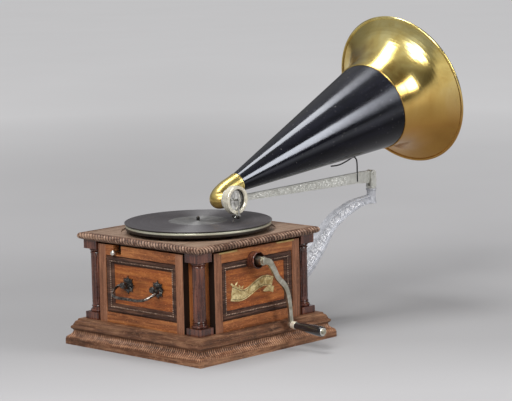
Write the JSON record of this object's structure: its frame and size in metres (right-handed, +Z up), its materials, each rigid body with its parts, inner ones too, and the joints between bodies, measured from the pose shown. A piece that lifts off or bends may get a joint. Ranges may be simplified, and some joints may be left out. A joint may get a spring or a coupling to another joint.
{
  "type": "horn gramophone",
  "caption": "Table gramophone: carved oak case with a spring motor, a disc turntable, and a horn with its sound box on a swinging arm.",
  "frame": {"origin": "middle of the case's base, on the surface it stands on", "axes": "+Z up, +X the way the horn points, -Y the crank side, -X the handle side"},
  "size_m": [0.8811, 0.4901, 0.6374],
  "materials": {
    "oak": "satin varnish",
    "dark_oak": "satin varnish, worn edges",
    "field_oak": "satin varnish",
    "steel": "worn",
    "nickel": "worn nickel plate",
    "brass": "polished",
    "japan": "gloss black",
    "bronze": "dark bronze",
    "silvered_iron": "silver paint",
    "shellac": "gloss",
    "felt": "matt",
    "rubber": "matt",
    "mica": "clear",
    "ebonised_wood": "gloss black"
  },
  "bodies": {
    "case": {"bottom_board": "dark_oak", "plinth_moulding": "dark_oak", "wall_handle_side": "oak", "wall_crank_side": "oak", "wall_bracket_side": "oak", "wall_plain_side": "oak", "corner_posts": "oak", "frame_handle_side": "oak", "frame_crank_side": "oak", "frame_bracket_side": "oak", "frame_plain_side": "oak", "panel_fields": "field_oak", "panel_mouldings": "dark_oak", "pedestal_blocks": "dark_oak", "abacus_blocks": "dark_oak", "columns": "dark_oak", "top_board": "oak", "top_moulding": "dark_oak", "top_cleats": "brass", "crank_boss": "dark_oak", "motor_top_plate": "steel", "motor_lower_plate": "steel", "motor_pillars": "steel", "motor_hangers": "steel", "crank_bearing": "steel", "governor_bearings": "brass", "handle_rosettes": "bronze", "bracket": "silvered_iron", "bracket_screws": "steel"},
    "turntable": {"turntable": "nickel", "turntable_felt": "felt", "record": "shellac", "spindle": "steel"},
    "spring_barrel": {"spring_barrel": "brass", "mainspring": "steel"},
    "spring_arbor": {"spring_arbor": "steel", "winding_gear": "brass"},
    "ratchet_pawl": {"ratchet_pawl": "steel"},
    "intermediate_gear": {"intermediate_gear": "steel"},
    "governor": {"governor": "steel", "governor_weights": "brass"},
    "speed_screw": {"speed_screw": "brass"},
    "brake_lever": {"brake_lever": "nickel"},
    "crank": {"crank": "steel"},
    "crank_grip": {"crank_grip": "ebonised_wood"},
    "handle_bail": {"handle_bail": "bronze"},
    "swivel_yoke": {"swivel_yoke": "nickel"},
    "arm": {"travelling_arm": "nickel", "horn_wire": "japan", "horn_cone": "japan", "horn_bell": "brass", "horn_elbow": "brass", "elbow_bush": "rubber"},
    "sound_box": {"sound_box_case": "nickel", "sound_box_ring": "nickel", "sound_box_gaskets": "rubber", "diaphragm": "mica", "needle_bar": "nickel", "needle": "steel"},
    "needle_screw": {"needle_screw": "nickel"}
  },
  "joints": [
    {"name": "turntable_spin", "type": "hinge", "parent": "case", "child": "turntable", "pos_m": [0, 0, 0.24], "axis": [0, 0, 1], "continuous": true},
    {"name": "barrel_turn", "type": "hinge", "parent": "case", "child": "spring_barrel", "pos_m": [-0.012, -0.072, 0.14], "axis": [0, 0, 1], "continuous": true},
    {"name": "arbor_turn", "type": "hinge", "parent": "case", "child": "spring_arbor", "pos_m": [-0.012, -0.072, 0.14], "axis": [0, 0, 1], "continuous": true},
    {"name": "pawl_lift", "type": "hinge", "parent": "case", "child": "ratchet_pawl", "pos_m": [0.014, -0.057, 0.192], "axis": [0, 0, -1], "range_deg": [0, 12]},
    {"name": "intermediate_turn", "type": "hinge", "parent": "case", "child": "intermediate_gear", "pos_m": [0.01536, -0.03256, 0.14], "axis": [0, 0, 1], "continuous": true},
    {"name": "governor_spin", "type": "hinge", "parent": "case", "child": "governor", "pos_m": [0, 0.01587, 0.178], "axis": [1, 0, 0], "continuous": true},
    {"name": "speed_screw_turn", "type": "hinge", "parent": "case", "child": "speed_screw", "pos_m": [-0.036, 0.01587, 0.2], "axis": [0, 0, 1], "range_deg": [-180, 180]},
    {"name": "brake_swing", "type": "hinge", "parent": "case", "child": "brake_lever", "pos_m": [-0.1, 0.06, 0.1994], "axis": [0, 0, 1], "range_deg": [0, 9]},
    {"name": "crank_turn", "type": "hinge", "parent": "case", "child": "crank", "pos_m": [-0.012, -0.18, 0.188], "axis": [0, 1, 0], "continuous": true},
    {"name": "grip_spin", "type": "hinge", "parent": "crank", "child": "crank_grip", "pos_m": [0.062, -0.196, 0.047], "axis": [0, -0.9986, -0.0523], "continuous": true},
    {"name": "bail_swing", "type": "hinge", "parent": "case", "child": "handle_bail", "pos_m": [-0.173, 0, 0.135], "axis": [0, 1, 0], "range_deg": [0, 115]},
    {"name": "arm_swing", "type": "hinge", "parent": "case", "child": "swivel_yoke", "pos_m": [0.514, -0.025, 0.25], "axis": [0, 0, 1], "range_deg": [-3, 14]},
    {"name": "arm_lift", "type": "hinge", "parent": "swivel_yoke", "child": "arm", "pos_m": [0.514, -0.025, 0.2937], "axis": [0, 1, 0], "range_deg": [0, 30]},
    {"name": "sound_box_turn", "type": "hinge", "parent": "arm", "child": "sound_box", "pos_m": [0.032, -0.076, 0.2966], "axis": [0, 1, 0], "range_deg": [0, 100]},
    {"name": "needle_screw_turn", "type": "hinge", "parent": "sound_box", "child": "needle_screw", "pos_m": [0.02577, -0.083, 0.26228], "axis": [0, -1, 0], "range_deg": [-180, 180]}
  ],
  "couplings": [
    {"joint": "intermediate_turn", "follows": "turntable_spin", "ratio": -0.2},
    {"joint": "barrel_turn", "follows": "turntable_spin", "ratio": 0.028571},
    {"joint": "governor_spin", "follows": "turntable_spin", "ratio": 24},
    {"joint": "arbor_turn", "follows": "crank_turn", "ratio": -0.33333}
  ]
}
